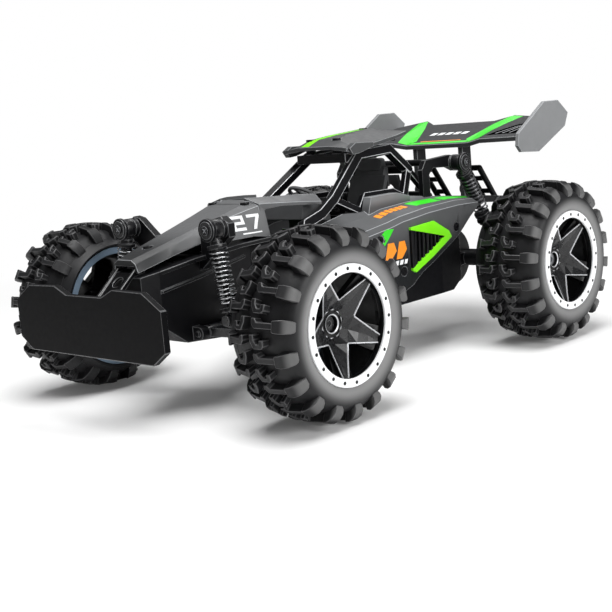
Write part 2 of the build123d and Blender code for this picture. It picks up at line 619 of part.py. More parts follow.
def hood():
    """Thin wedge of a nose cover on screw bosses, with two cowl rails that run back beside the dashboard."""
    def section(y, by):
        ridge_x, ridge_z, edge_x, edge_z, foot_x, foot_z = blend(hood_stations, y)
        return mirrored([(ridge_x - by * 0.3, ridge_z - by), (edge_x - by * 0.9, edge_z - by * 0.6), (foot_x - by, foot_z)])

    stations = [station for station, _ in hood_stations]
    outer = ruled([(y, section(y, 0)) for y in stations], front_plane)
    stations[0] += skin
    stations[-1] += 1
    inner = ruled([(y, section(min(y, -54.5), skin)) for y in stations], front_plane)
    shell = outer - inner
    rail = [(y, [(xi, zi), (xo, zo), (xo, zo - t), (xi, zi - t)]) for y, (xi, zi, xo, zo, t) in cowl_stations]
    shell += both(ruled(rail, front_plane))
    shell += [z_rod(60, z - 0.6, x, y, 2.6) for x, y, z in hood_screws]
    below = [(y, z + seat_gap) for y, z in nose_deck] + [(-40, 72.1), (-40, 40), (-140, 40), (-140, 58)]
    shell -= side_prism(below, -60, 60)
    notch = strap_half_width + 0.25
    shell -= block((-notch, notch), (nose_end - 1, nose_end + 6.8), (60, 67.9))
    for x, y, z in hood_screws:
        shell -= z_rod(z, z + 9, x, y, screw_radius + 0.25) + z_rod(z - 7, z + 1, x, y, screw_shank + 0.1)
    return shell


panel_stations = [
    (-34, (28.2, 72.6, 31, 69, 33, 66, 34.5, 63.5, 35, 52)),
    (-12, (28.2, 76.6, 31.5, 72.5, 38.5, 67.4, 40.6, 64.8, 42.2, 33)),
    (4, (28.2, 75.8, 32, 74, 42, 70.4, 44.2, 67.8, 43, 32)),
    (12, (26.7, 80.6, 29.5, 76.5, 43, 72.2, 45.2, 69.6, 43.6, 32)),
    (34, (26.7, 80.2, 30, 77.4, 43, 74.2, 45.2, 71.6, 44, 34)),
    (62, (29.8, 76.9, 32, 76.2, 40, 74.5, 42.4, 72, 42.4, 40)),
    (92, (29.8, 73.6, 31, 73.3, 34, 72.6, 36, 70.4, 36.5, 55)),
]
panel_outline = [
    (-33, 90), (91, 90), (91, 70), (76, 63.8), (60, 56), (26.5, 42.6), (18.5, 37.4), (8, 33.6), (-6, 31.4),
    (-24, 38), (-33, 50),
]
scoop = [(3, 73.6), (6, 82.6), (26, 82.6), (36.5, 79.9), (36.5, 76.4), (12, 75)]
vent_outer = [(16.4, 66.2), (35.5, 67.2), (49.5, 60.4), (52, 57), (19.6, 43.6), (17.2, 45)]
vent_inner = [(18.5, 64.6), (42.8, 58.8), (43.6, 57.6), (19.4, 47)]
vent_window = [(18.1, 65), (43.2, 59.2), (44.2, 57.4), (19.2, 46.4)]


def flank_x(y, z):
    """Outer face of the side panel's flank at a point of the side view."""
    values = blend(panel_stations, y)
    (edge_x, edge_z), (foot_x, foot_z) = values[6:8], values[8:10]
    return foot_x + (edge_x - foot_x) * (z - foot_z) / (edge_z - foot_z)


def flank_layer(inner, outer):
    """Layer that follows the flank, between two distances measured along X from its face."""
    sections = []
    for y, values in panel_stations[2:6]:
        (edge_x, edge_z), (foot_x, foot_z) = values[6:8], values[8:10]
        sections.append((y, [(edge_x + inner, edge_z), (foot_x + inner, foot_z), (foot_x + outer, foot_z),
                             (edge_x + outer, edge_z)]))
    return ruled(sections, front_plane)


def body_side():
    """Left side panel: inner flange, sloping deck, bright fender edge and a flat flank with a vent."""
    def section(values):
        points = list(zip(values[0::2], values[1::2]))
        inner = [(points[0][0], points[0][1] - 2.2), (points[1][0] - 0.6, points[1][1] - skin),
                 (points[2][0] - 0.9, points[2][1] - skin), (points[3][0] - skin, points[3][1] - 0.8),
                 (points[4][0] - skin, points[4][1])]
        return points + list(reversed(inner))

    shell = ruled([(y, section(values)) for y, values in panel_stations], front_plane)
    shell &= side_prism(panel_outline, 10, 60)
    shell += side_prism(scoop, 26.7, 31.5)
    shell -= side_prism(vent_window, 35, 60)
    shell -= block((tower_x[0] - gap, tower_x[1] + gap), (tower_leg[0] - gap, tower_leg[1] + gap), (40, 120))
    shell -= rod(rear_shock_top, rear_shock_foot, 5.0)
    for y, z in side_screws:
        face = flank_x(y, z)
        shell -= x_rod(face - 0.8, 60, y, z, screw_radius + 0.25) + x_rod(30, 60, y, z, screw_shank + 0.1)
    return shell


def side_vent():
    """Bright boomerang that frames the vent, with upright slats inside it."""
    frame = (side_prism(vent_outer, 30, 60) - side_prism(vent_inner, 30, 60)) & flank_layer(0.05, 1.5)
    deep = side_prism(vent_inner, 30, 60) & flank_layer(-2.6, 1.0)
    ends = side_prism(vent_outer, 30, 60) & flank_layer(0.05, 1.0)
    slats = [block((30, 60), (y - 0.7, y + 0.7), (40, 70)) for y in (20.6, 23.8, 27.0, 30.2, 33.4, 36.6, 39.8)]
    for slat in slats:
        frame += slat & (deep + ends)
    return frame


# ---------------------------------------------------------------- roll cage and cockpit
def on_cage(y, z):
    """Sketch coordinates of a point of the side frame."""
    return (y, (z - cage_base[1]) / cos(radians(cage_lean)))


def roll_cage():
    """Two leaning side frames of round-cornered bars, joined by cross bars and a header."""
    lean = radians(cage_lean)
    plane = Plane(origin=(cage_base[0], 0, cage_base[1]), x_dir=(0, 1, 0), z_dir=(cos(lean), 0, sin(lean)))
    hoop = [(-37.3, 72), (-36, 74.6), (-24, 77.6), (-12.4, 83.4), (15, 102.4), (39.8, 103.4), (50.3, 92.2)]
    sill = [(-12.4, 83.4), (3.7, 75.6), (10.9, 82.4), (32.4, 82.2), (40, 78.4), (50.3, 92.2)]
    stay = [(50.3, 92.2), (61, 76.9), (61, 68)]
    frame = None
    for points, width in ((hoop, cage_tube), (sill, sill_tube), (stay, stay_tube)):
        sketch = chain([on_cage(*point) for point in points], width)
        bars = extrude(plane * sketch, amount=width / 2, both=True)
        frame = bars if frame is None else frame + bars
    frame &= block((0, 60), (-34, 90), (bridge_top + 0.1, 130)) + block((0, 60), (-60, -34), (71.95, 130))
    cage = both(frame)
    cage += block((-16.5, 16.5), (6.4, 14), (99.8, 104.2)) + x_rod(-17, 17, 39.8, 103.4, cage_tube / 2)
    cage += x_rod(-19, 19, 50.3, 92.2, cage_tube / 2) + x_rod(-25, 25, 61, 74.4, stay_tube / 2)
    for x, y, z in roof_screws:
        cage += z_rod(102.5, z - 1.25, x, y, 2.5) - z_rod(z - 7, z, x, y, screw_shank + 0.1)
    return cage - Pos(0, 0, -seat_gap) * roof_shell()


roof_stations = [
    (1.8, (21.6, 107.2, 10.0, 108.4)),
    (9.0, (21.2, 107.0, 9.5, 111.6)),
    (20.0, (20.2, 107.5, 7.0, 113.0)),
    (42.0, (20.0, 110.2, 3.5, 114.8)),
    (53.0, (19.0, 112.0, 3.0, 113.5)),
]
roof_screws = [(9.0, 9.4, 110.8), (-9.0, 9.4, 110.8), (0.0, 41.0, 114.0)]


def roof_shell():
    """Faceted roof skin with a bevelled brow."""
    def section(values):
        edge_x, edge_z, ridge_x, ridge_z = values
        top = [(edge_x, edge_z), (ridge_x, ridge_z)]
        under = [(-ridge_x, ridge_z - skin), (-edge_x, edge_z - skin)]
        return top + [(-x, z) for x, z in reversed(top)] + list(reversed(under)) + [(-x, z) for x, z in under]

    return ruled([(y, section(values)) for y, values in roof_stations], front_plane)


def roof_panel():
    """Roof skin with a small hook on each side and pockets for its screws."""
    hook = side_prism([(2.6, 106.9), (7, 109.2), (21, 108.6), (21, 106.6), (10, 104.0), (5, 103.6)], 20, 23.2)
    roof = roof_shell() + both(hook)
    for x, y, z in roof_screws:
        roof -= z_rod(z, z + 5, x, y, screw_radius + 0.25) + z_rod(z - 5, z + 1, x, y, screw_shank + 0.1)
    return roof


def seat():
    """Driver's seat with its headrest, and the firewall behind it."""
    pan = side_prism([(8, tray_top), (8, 60), (14, 62), (32, 59), (40, 84), (44, 94), (47, 94), (47, 90), (35, 58),
                      (35, tray_top)], -10, 10)
    head = extrude(front_plane(43.4) * Pos(0, 95.8) * RectangleRounded(16, 6.4, 2.6), amount=4.2, dir=(0, 1, 0))
    wings = side_prism([(30, 60), (34, 60), (44.5, 90), (42, 90)], -11.8, 11.8)
    fire = front_prism(mirrored([(18.6, bridge_top + 0.1), (18.2, 78), (15.4, 89.7)]), 47, 49)
    for x in (-10, 0, 10):
        arch = block((x - 2.8, x + 2.8), (46, 50), (72, 82)) + y_rod(46, 50, x, 82, 2.8)
        fire -= arch & block((-16.5, 16.5), (40, 60), (60, 90))
    fire += block((-10, 10), (46, 47.5), (84, 89.7))
    return pan + head + wings + fire


def dashboard():
    """Dashboard on its pedestal, with the steering wheel on a raked column."""
    shelf = side_prism([(-29, 76), (-27, 84.5), (-18, 86), (-15.5, 83), (-15.5, 78), (-8.4, 76), (-8.4, 73)], -17, 17)
    pedestal = block((-8, 8), (-12.4, -8.4), (tray_top, 75))
    hub, way = Vector(0, -9.5, 85.6), Vector(0, 0.55, 0.835)
    rake = Plane(origin=hub, z_dir=way)
    wheel = extrude(rake * (Circle(7.6) - Circle(6.0)), amount=1.4)
    wheel += extrude(rake * (Rectangle(13, 1.8) + Circle(2.4)), amount=1.2)
    return shelf + pedestal + wheel + rod(hub - way * 10, hub + way * 0.5, 1.4)


# ---------------------------------------------------------------- rear end
def ladder():
    """Bent bar behind the wing post: two legs that stand on the tail deck, and two rungs."""
    inner, outer = 12.0, 20.0
    (top_y, top_z), (foot_y, foot_z) = (115.4, 86.8), (129.4, 68.7)
    bars = x_rod(inner, outer, top_y, top_z, 1.6)
    for x in (inner, outer):
        bars += rod((x, top_y, top_z), (x, foot_y, foot_z), 1.6) + Pos(x, top_y, top_z) * Sphere(1.6)
    for part in (0.35, 0.78):
        bars += x_rod(inner, outer, top_y + part * (foot_y - top_y), top_z + part * (foot_z - top_z), 1.4)
    return bars


def rear_shock_tower():
    """Arched side plates for the rear shocks, rails back to the tail deck, and a bent-bar ladder each side."""
    x, y, z = rear_shock_top
    front, back, foot_z = *tower_leg, bridge_top + seat_gap
    arch = side_prism([
        (front, foot_z), (front, 91.5), (front + 3.5, 96.2), (y - 3, z + 4.4), (y + 4, z + 3), (y + 4.4, z - 2.6),
        (y + 1, z - 4.4), (y - 5, z - 1.9), (back + 3.5, 91.6), (back, 88.5), (back, foot_z),
    ], *tower_x)
    pin = x_rod(tower_x[1], x + 4, y, z, shock_pin_radius)
    boss = x_rod(tower_x[1], x - shock_eye_half - gap, y, z, 4.3)
    cap = x_rod(x + shock_eye_half + gap, x + 4.3, y, z, shock_cap_radius) - x_rod(x + 3.7, x + 5, y, z, 1.3)
    rail = block(rail_x, (front, 104), (foot_z, 72.4))
    foot = block((rail_x[0], tower_x[1]), tower_leg, (foot_z, 72.4))
    deck = side_prism([(98, 69.1), (98, 72.4), (118, 71), (139, 68.4), (139, 65), (118, 67)], -22, 22)
    tower = both(arch + pin + boss + cap + rail + foot + ladder()) + deck
    tower += block((-28, 28), (front + 1, front + 4), (77.4, 80.4)) + x_rod(-27, 27, y - 6, 93.8, 1.8)
    return tower


wing_stations = [
    (-wing_half_width, (97.8, 103.9, 141, 111.2)),
    (-30.7, (101.5, 103.5, 137.7, 114.1)),
    (-21.5, (103.1, 101.7, 131, 111.9)),
    (21.5, (103.1, 101.7, 131, 111.9)),
    (30.7, (101.5, 103.5, 137.7, 114.1)),
    (wing_half_width, (97.8, 103.9, 141, 111.2)),
]


def rear_wing():
    """Stepped wing blade on two flat posts that stand on the tail deck."""
    sections = []
    for x, (y0, z0, y1, z1) in wing_stations:
        sections.append((x, [(y0, z0), (y1, z1), (y1, z1 - wing_skin), (y0, z0 - wing_skin)]))
    blade = ruled(sections, side_plane)
    post = side_prism([(104, 60), (112, 60), (112, 104.5), (104, 101.5)], 14.3, 17.3)
    post += x_rod(12.8, 18.8, 108, 76, 3.0)
    post -= side_prism([(98, 72.5), (118, 71.1), (118, 50), (98, 50)], 10, 20)
    return blade + both(post)


def wing_endplate():
    """Eight-sided end plate on the wing's tip."""
    outline = [(124.3, 120.7), (138.2, 120.7), (rear_end, 113.3), (144.5, 106.1), (116.9, 94.3), (99.8, 95.4),
               (96.4, 99), (97.8, 105.5)]
    return side_prism(outline, wing_half_width, wing_half_width + plate_skin)


def body_screws():
    """Every screw that holds the body panels down."""
    screws = [screw((x, y, z + 0.05), (0, 0, -1), 5) for x, y, z in hood_screws + roof_screws]
    for y, z in side_screws:
        left = screw((flank_x(y, z) - 0.75, y, z), (-1, 0, 0), 3)
        screws += [left, mirror(left, about=Plane.YZ)]
    return screws


def make_body():
    put("hood", hood())
    put_pair("body_side", body_side())
    put_pair("side_vent", side_vent())
    put("roll_cage", roll_cage())
    put("roof_panel", roof_panel())
    put("seat", seat())
    put("dashboard", dashboard())
    put("rear_shock_tower", rear_shock_tower())
    put("rear_wing", rear_wing())
    put_pair("wing_endplate", wing_endplate())
    put("body_screws", *body_screws())


make_wheels()
make_chassis()
make_front_end()
make_shocks()
make_gearbox()
make_body()
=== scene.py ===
"""Looks of the off-road buggy: finishes, detailed tyres, painted trim, floor, light and camera.

The world is in metres. Sizes that are multiplied by MM, and outlines drawn as (u, v) points, are in millimetres.
"""

import json
from math import cos, pi, radians, sin, sqrt

import bmesh
import bpy
from mathutils import Matrix, Vector
from mathutils.bvhtree import BVHTree


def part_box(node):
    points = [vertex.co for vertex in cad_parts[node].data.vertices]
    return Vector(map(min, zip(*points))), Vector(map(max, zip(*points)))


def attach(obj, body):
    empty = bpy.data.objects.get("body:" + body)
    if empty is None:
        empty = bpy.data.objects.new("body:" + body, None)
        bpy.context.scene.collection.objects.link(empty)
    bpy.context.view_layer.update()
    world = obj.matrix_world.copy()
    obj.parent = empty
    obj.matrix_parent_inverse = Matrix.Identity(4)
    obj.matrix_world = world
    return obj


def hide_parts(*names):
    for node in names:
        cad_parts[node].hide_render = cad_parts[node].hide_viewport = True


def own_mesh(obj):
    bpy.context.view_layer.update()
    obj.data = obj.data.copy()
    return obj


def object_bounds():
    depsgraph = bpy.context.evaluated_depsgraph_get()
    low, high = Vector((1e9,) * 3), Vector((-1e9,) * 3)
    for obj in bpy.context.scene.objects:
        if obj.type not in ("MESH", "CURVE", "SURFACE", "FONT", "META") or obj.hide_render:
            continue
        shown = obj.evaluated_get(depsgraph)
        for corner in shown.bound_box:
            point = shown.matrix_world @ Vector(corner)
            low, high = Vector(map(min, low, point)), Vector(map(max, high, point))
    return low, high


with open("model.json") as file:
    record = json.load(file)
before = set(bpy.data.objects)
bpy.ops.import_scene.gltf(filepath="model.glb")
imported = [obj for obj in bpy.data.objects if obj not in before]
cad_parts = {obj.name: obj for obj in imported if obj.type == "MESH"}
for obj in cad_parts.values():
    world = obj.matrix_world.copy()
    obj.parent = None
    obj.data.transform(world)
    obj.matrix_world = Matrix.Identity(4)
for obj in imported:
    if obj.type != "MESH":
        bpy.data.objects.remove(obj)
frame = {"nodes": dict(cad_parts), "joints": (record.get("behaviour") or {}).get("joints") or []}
cad_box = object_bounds()
nodes = frame["nodes"]
joints = {joint["name"]: joint for joint in frame["joints"]}
MM = 0.001
SIDES = (("left", 1), ("right", -1))
DOWN = (0, 0, -1)

# ---------------------------------------------------------------- shader helpers


def mixed(tree, factor, first, second):
    """Colour that goes from the first socket's to a second, fixed one."""
    blend = tree.nodes.new("ShaderNodeMix")
    blend.data_type = "RGBA"
    tree.links.new(factor, blend.inputs["Factor"])
    tree.links.new(first, blend.inputs["A"])
    blend.inputs["B"].default_value = (*second, 1)
    return blend.outputs["Result"]


def maths(tree, operation, first, second):
    """Result of a maths node, whose second term is a number or a socket."""
    node = tree.nodes.new("ShaderNodeMath")
    node.operation = operation
    tree.links.new(first, node.inputs[0])
    if isinstance(second, (int, float)):
        node.inputs[1].default_value = second
    else:
        tree.links.new(second, node.inputs[1])
    return node.outputs[0]


def ramp(tree, value, span=(0.0, 1.0), onto=(0.0, 1.0), eased=False):
    """Maps one span of a value onto another."""
    node = tree.nodes.new("ShaderNodeMapRange")
    if eased:
        node.interpolation_type = "SMOOTHSTEP"
    for label, number in zip(("From Min", "From Max", "To Min", "To Max"), (*span, *onto)):
        node.inputs[label].default_value = number
    tree.links.new(value, node.inputs["Value"])
    return node.outputs[0]


# ---------------------------------------------------------------- finishes
MOTTLE_SIZE, SCUFF_SIZE = 6.0, 2.2
SCUFF_SPAN = (0.35, 0.75)
GRAIN_DEPTH = 0.1


def finish(name, colour, rough=0.45, metal=0.0, grain=0.0, grain_size=0.35, mottle=0.15, scuff=0.0, shine=0.25,
           fades=(), painted=None):
    """Moulded, painted or plated finish with grain, uneven colour and light scuffs.

    Each fade is (next colour, axis index, from metres, to metres), laid over what is there, mostly as painted
    shade or a painted highlight.
    painted is (second colour, lines) with the second colour wherever a * y + b * z > c for a line (a, b, c).
    """
    mat = bpy.data.materials.new(name)
    mat.use_nodes = True
    tree = mat.node_tree
    link, new = tree.links.new, tree.nodes.new
    shader = tree.nodes["Principled BSDF"]
    shader.inputs["Metallic"].default_value = metal
    shader.inputs["Specular IOR Level"].default_value = shine
    place = new("ShaderNodeTexCoord").outputs["Object"]

    def noise(size, detail=3.0):
        node = new("ShaderNodeTexNoise")
        node.inputs["Scale"].default_value = 1 / (size * MM)
        node.inputs["Detail"].default_value = detail
        link(place, node.inputs["Vector"])
        return node.outputs["Fac"]

    base = new("ShaderNodeRGB").outputs[0]
    base.default_value = (*colour, 1)
    for second, axis, low, high in fades:
        split = new("ShaderNodeSeparateXYZ")
        link(place, split.inputs[0])
        base = mixed(tree, ramp(tree, split.outputs[axis], (low, high), eased=True), base, second)
    if painted:
        second, lines = painted
        cover = None
        for a, b, c in lines:
            dot = new("ShaderNodeVectorMath")
            dot.operation = "DOT_PRODUCT"
            dot.inputs[1].default_value = (0, a, b)
            link(place, dot.inputs[0])
            over = maths(tree, "GREATER_THAN", dot.outputs["Value"], c)
            cover = over if cover is None else maths(tree, "MAXIMUM", cover, over)
        base = mixed(tree, cover, base, second)
    shade = new("ShaderNodeMix")
    shade.data_type = "RGBA"
    shade.blend_type = "MULTIPLY"
    shade.inputs["Factor"].default_value = 1.0
    link(base, shade.inputs["A"])
    link(ramp(tree, noise(MOTTLE_SIZE), onto=(1 - mottle, 1 + mottle)), shade.inputs["B"])
    link(shade.outputs["Result"], shader.inputs["Base Color"])
    dull = ramp(tree, noise(SCUFF_SIZE, 5.0), SCUFF_SPAN, (rough, min(1.0, rough + 0.1 + scuff)))
    link(dull, shader.inputs["Roughness"])
    if grain:
        bump = new("ShaderNodeBump")
        bump.inputs["Strength"].default_value = grain
        bump.inputs["Distance"].default_value = GRAIN_DEPTH * MM
        link(noise(grain_size, 4.0), bump.inputs["Height"])
        link(bump.outputs[0], shader.inputs["Normal"])
    return mat


LIME = (0.2, 0.78, 0.015)

# Paler finish on the tread blocks' rounded edges: a painted highlight.
rubber_glint = finish("rubber_glint", (0.07, 0.07, 0.072), rough=0.3, mottle=0.3)
black = finish("black_plastic", (0.006, 0.006, 0.007), rough=0.25, mottle=0.1, scuff=0.06, shine=0.5)
tub_black = finish("tub_black", (0.004, 0.004, 0.005), rough=0.34, grain=0.06, grain_size=0.5, mottle=0.1,
                   scuff=0.1, shine=0.2)
bumper_black = finish("bumper_black", (0.003, 0.003, 0.0035), rough=0.45, grain=0.1, grain_size=0.4, mottle=0.1,
                      shine=0.08)
# Paler finish on the black parts' rounded edges: a painted highlight.
soft_glint = finish("soft_glint", (0.09, 0.092, 0.095), rough=0.25, mottle=0.1, shine=0.6)
gloss_black = finish("gloss_black", (0.004, 0.004, 0.005), rough=0.28, mottle=0.1, scuff=0.05, shine=0.3)
rim_black = finish("rim_black", (0.0025, 0.0025, 0.003), rough=0.3, mottle=0.1)
spoke_grey = finish("spoke_grey", (0.008, 0.008, 0.009), rough=0.24, mottle=0.2, shine=0.45)
# Bright finish on the cage's rounded edges and on the rims' raised edges and hub rings: a painted highlight.
bright_glint = finish("bright_glint", (0.62, 0.63, 0.65), rough=0.25, metal=0.3, mottle=0.1)
# Pale grey on the rounded edges of the hood, panels, roof, wing, end plates and cap screws as a painted highlight;
# it is also the print of the wing's slats.
glint_and_slat_grey = finish("glint_and_slat_grey", (0.3, 0.31, 0.32), rough=0.3, mottle=0.1)
# The side panels darken downwards; towards the front they carry painted shade, and along the top of the scoop a
# painted highlight.
panel_grey = finish("panel_grey", (0.09, 0.092, 0.095), rough=0.42, mottle=0.06, shine=0.12, fades=[
    ((0.012, 0.013, 0.014), 2, 0.069, 0.048),
    ((0.02, 0.021, 0.022), 1, -0.010, -0.034),
    ((0.2, 0.205, 0.21), 2, 0.0765, 0.0815)])
# The hood darkens towards the nose as painted shade.
hood_grey = finish("hood_grey", (0.11, 0.112, 0.115), rough=0.36, mottle=0.06, fades=[
    ((0.022, 0.023, 0.024), 1, -0.088, -0.118)])
roof_grey = finish("roof_grey", (0.06, 0.062, 0.064), rough=0.42, mottle=0.06)
wing_grey = finish("wing_grey", (0.045, 0.046, 0.048), rough=0.5, mottle=0.06, shine=0.08)
gill_black = finish("gill_black", (0.002, 0.002, 0.002), rough=0.9, mottle=0.1, shine=0.0)
plate_grey = finish("plate_grey", (0.22, 0.225, 0.23), rough=0.4, mottle=0.06)
green = finish("green_paint", (0.04, 0.62, 0.02), rough=0.35, mottle=0.04)
lime = finish("lime_paint", LIME, rough=0.35, mottle=0.04)
orange = finish("orange_paint", (0.85, 0.27, 0.02), rough=0.4, mottle=0.04)
white = finish("white_paint", (0.8, 0.81, 0.82), rough=0.4, mottle=0.04)
ring_white = finish("ring_white", (0.9, 0.91, 0.92), rough=0.35, mottle=0.02)
slate = finish("slate_blue", (0.16, 0.22, 0.29), rough=0.4, mottle=0.08)
chrome = finish("spring_plate", (0.75, 0.76, 0.78), rough=0.22, metal=1.0, mottle=0.04)
dark_spring = finish("spring_dark", (0.22, 0.22, 0.23), rough=0.28, metal=0.9, mottle=0.05)
steel = finish("steel", (0.35, 0.36, 0.38), rough=0.3, metal=1.0, mottle=0.06)
gear_nylon = finish("gear_nylon", (0.6, 0.6, 0.57), rough=0.5, grain=0.1)
battery_blue = finish("battery_wrap", (0.02, 0.06, 0.25), rough=0.25, mottle=0.06)
board = finish("circuit_green", (0.01, 0.09, 0.03), rough=0.4, mottle=0.2)
seat_black = finish("seat_black", (0.08, 0.082, 0.085), rough=0.5, grain=0.2, grain_size=0.9)

# ---------------------------------------------------------------- finishes of the CAD nodes
WELD_GAP = 0.002


def dress(piece, mat, edge=None, width=0.25, angle=35):
    """A finish with rounded edges that may have a paler finish of their own, a painted highlight along them."""
    piece.data.materials.clear()
    piece.data.materials.append(mat)
    if edge:
        piece.data.materials.append(edge)
    weld = piece.modifiers.new("weld", "WELD")
    weld.merge_threshold = WELD_GAP * MM
    bevel = piece.modifiers.new("bevel", "BEVEL")
    bevel.width = width * MM
    bevel.segments = 2
    bevel.limit_method = "ANGLE"
    bevel.angle_limit = radians(angle)
    bevel.harden_normals = False
    bevel.use_clamp_overlap = False
    bevel.material = 1 if edge else -1


def coat(names, mat, **edges):
    """The same finish on several CAD nodes."""
    for name in names:
        dress(nodes[name], mat, **edges)


def pair(*names):
    """The left and right node of each name."""
    return [f"{name}_{side}" for name in names for side, _ in SIDES]


def vent_finish():
    """Black side vent with a lime border above and below two sloping lines, from the vent's lower front corner."""
    _, y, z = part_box("side_vent_left")[0]
    rise, upper = 0.2387, 21.5 * MM
    fall, lower = 0.438, 2.1 * MM
    lines = [(rise, 1.0, z + rise * y + upper), (fall, -1.0, fall * y - z - lower)]
    return finish("vent_paint", (0.006, 0.006, 0.007), rough=0.3, mottle=0.04, painted=(LIME, lines))


# The edge finishes paint highlights along the rounded edges.
coat(["front_bumper"], bumper_black, edge=soft_glint, width=0.35)
coat(["chassis_tub", "front_shock_tower", "rear_shock_tower", "servo_arm", "tie_rod", "battery_door",
      "power_switch", "trim_lever", "gearbox_case", "gearbox_cover", "steering_servo"],
     tub_black, edge=soft_glint, width=0.25, angle=30)
coat(pair("front_arm", "knuckle", "front_shock", "rear_shock", "front_shock_rod", "rear_shock_rod"),
     black, edge=soft_glint, width=0.2)
coat(pair("bead_ring_front", "bead_ring_rear"), ring_white, width=0.15)
coat(["roll_cage"], gloss_black, edge=bright_glint, width=0.3)
coat(["hood"], hood_grey, edge=glint_and_slat_grey, width=0.2)
coat(pair("rim_front", "rim_rear"), rim_black, width=0.2)
coat(pair("body_side"), panel_grey, edge=glint_and_slat_grey, width=0.2, angle=25)
coat(pair("side_vent"), vent_finish(), width=0.1)
coat(["roof_panel"], roof_grey, edge=glint_and_slat_grey, width=0.2)
coat(["rear_wing"], wing_grey, edge=glint_and_slat_grey, width=0.2)
coat(pair("wing_endplate"), plate_grey, edge=glint_and_slat_grey, width=0.3)
coat(["seat", "dashboard"], seat_black, width=0.3)
coat(["body_screws"], gloss_black, width=0.1)
coat(["rear_axle", "motor_pinion", "drive_motor"], steel, width=0.1)
coat(["idler_gear", "axle_gear"], gear_nylon, width=0.1)
coat(["battery_pack"], battery_blue)
coat(["circuit_board"], board)

# ---------------------------------------------------------------- mesh helpers
SAME_POINT = 0.001


def make_piece(name, grid, mats, body, at=(0, 0, 0), smooth=None):
    """Turns a bmesh in metres into a piece at a place, riding on a body."""
    mesh = bpy.data.meshes.new(name)
    bmesh.ops.recalc_face_normals(grid, faces=grid.faces)
    grid.to_mesh(mesh)
    grid.free()
    for mat in mats:
        mesh.materials.append(mat)
    piece = bpy.data.objects.new(name, mesh)
    piece.location = at
    bpy.context.scene.collection.objects.link(piece)
    if smooth is not None:
        for polygon in mesh.polygons:
            polygon.use_smooth = True
        mesh.set_sharp_from_angle(angle=radians(smooth))
    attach(piece, body)
    return piece


def add_face(grid, points, material=0):
    """One face with corners of its own."""
    face = grid.faces.new([grid.verts.new(point) for point in points])
    face.material_index = material


def add_prism(grid, low_ring, high_ring, material=0):
    """Closed solid between two rings of points with the same count."""
    bottom = [grid.verts.new(p) for p in low_ring]
    top = [grid.verts.new(p) for p in high_ring]
    count = len(bottom)
    faces = [grid.faces.new(bottom[::-1]), grid.faces.new(top)]
    for i in range(count):
        j = (i + 1) % count
        faces.append(grid.faces.new((bottom[i], bottom[j], top[j], top[i])))
    for face in faces:
        face.material_index = material


def join_points(grid):
    """Joins faces at the corners they share."""
    bmesh.ops.remove_doubles(grid, verts=grid.verts, dist=SAME_POINT * MM)


def centre_of(node):
    """Middle of a CAD node's box."""
    lowest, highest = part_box(node)
    return (lowest + highest) / 2


def polar(x, radius, angle):
    """Point by its distance and angle round the wheel's axis, in millimetres."""
    return Vector((x, radius * cos(angle), radius * sin(angle))) * MM


# ---------------------------------------------------------------- tyres
tyre_low, tyre_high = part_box("tyre_front_left")
HALF = (tyre_high - tyre_low)[0] / 2 / MM
RADIUS = (tyre_high - tyre_low)[2] / 2 / MM
CROWN = RADIUS - 3.9
LUGS = 18
PITCH = 2 * pi * RADIUS / LUGS
CARCASS_STEPS = 90
# How far the tread's top falls towards its edge, and how wide it is, on the outer (1) and the inner (-1) half.
EDGE_FALL = {1: 2.1, -1: 4.6}
HALF_WIDTH = {1: 1.0, -1: 0.82}
INNER_DROP = 2.2
# Plan outlines of the two tread blocks: axial, and round the tread.
BAR = [(4.0, -1.2), (13.6, -1.2), (13.6, 1.4), (5.4, 1.4), (4.4, 3.0), (2.6, 3.0), (2.6, 0.8)]
HOOK = [(3.4, -2.9), (7.5, -2.9), (8.6, -1.8), (8.6, 0.8), (6.6, 0.8), (6.6, -1.0), (5.0, -1.0), (3.7, 0.9),
        (3.7, 2.9), (1.6, 2.9), (1.6, 0.4)]
HOOK_SHIFT = -0.46
# Painted sheen round the outer bead: its colour, and the radii in millimetres over which it fades out.
SHEEN_RUBBER = (0.2, 0.2, 0.2)
SHEEN_SPAN = (26.5, 32.5)


def carcass_profile():
    """Half-round mud tyre section from the outer bead to the inner bead, in millimetres."""
    return [
        (HALF - 3.6, 25.2), (HALF - 1.3, 25.15), (HALF - 0.7, 26.2), (HALF - 0.25, 28.0), (HALF - 0.15, 30.0),
        (HALF - 0.4, 31.6), (HALF - 1.3, 33.2), (HALF - 3.2, CROWN - 2.3), (HALF - 7.5, CROWN - 0.8),
        (HALF - 13, CROWN - 0.1), (13 - HALF, CROWN - 0.6), (9.5 - HALF, CROWN - 2.0), (6.4 - HALF, CROWN - 3.9),
        (3.6 - HALF, 32.2), (1.4 - HALF, 30.8), (0.3 - HALF, 30.2), (1.3 - HALF, 28.95), (3.6 - HALF, 29.0),
        (5.5 - HALF, 33.0), (0, CROWN - 3), (HALF - 5.5, 33.0),
    ]


def wrap(x, s, r):
    """Point on the tyre: axial place, distance round the tread and radius, in millimetres."""
    angle = s / RADIUS
    return Vector((x, r * sin(angle), r * cos(angle))) * MM


def tread_top(x, side):
    """Radius of the tread's top at an axial place."""
    return RADIUS - 0.05 - EDGE_FALL[side] * (abs(x) / HALF) ** 2.5


def add_lug(grid, outline, shift, side, outward):
    """One tread block from its plan outline; side is -1 on the car's side of the tread."""
    way = side * outward * HALF_WIDTH[side]
    bottom = [wrap(way * x, shift + s, CROWN - 1.8) for x, s in outline]
    top = [wrap(way * x, shift + s, tread_top(x, side) - 0.3) for x, s in outline]
    if way < 0:
        bottom.reverse()
        top.reverse()
    add_prism(grid, bottom, top)


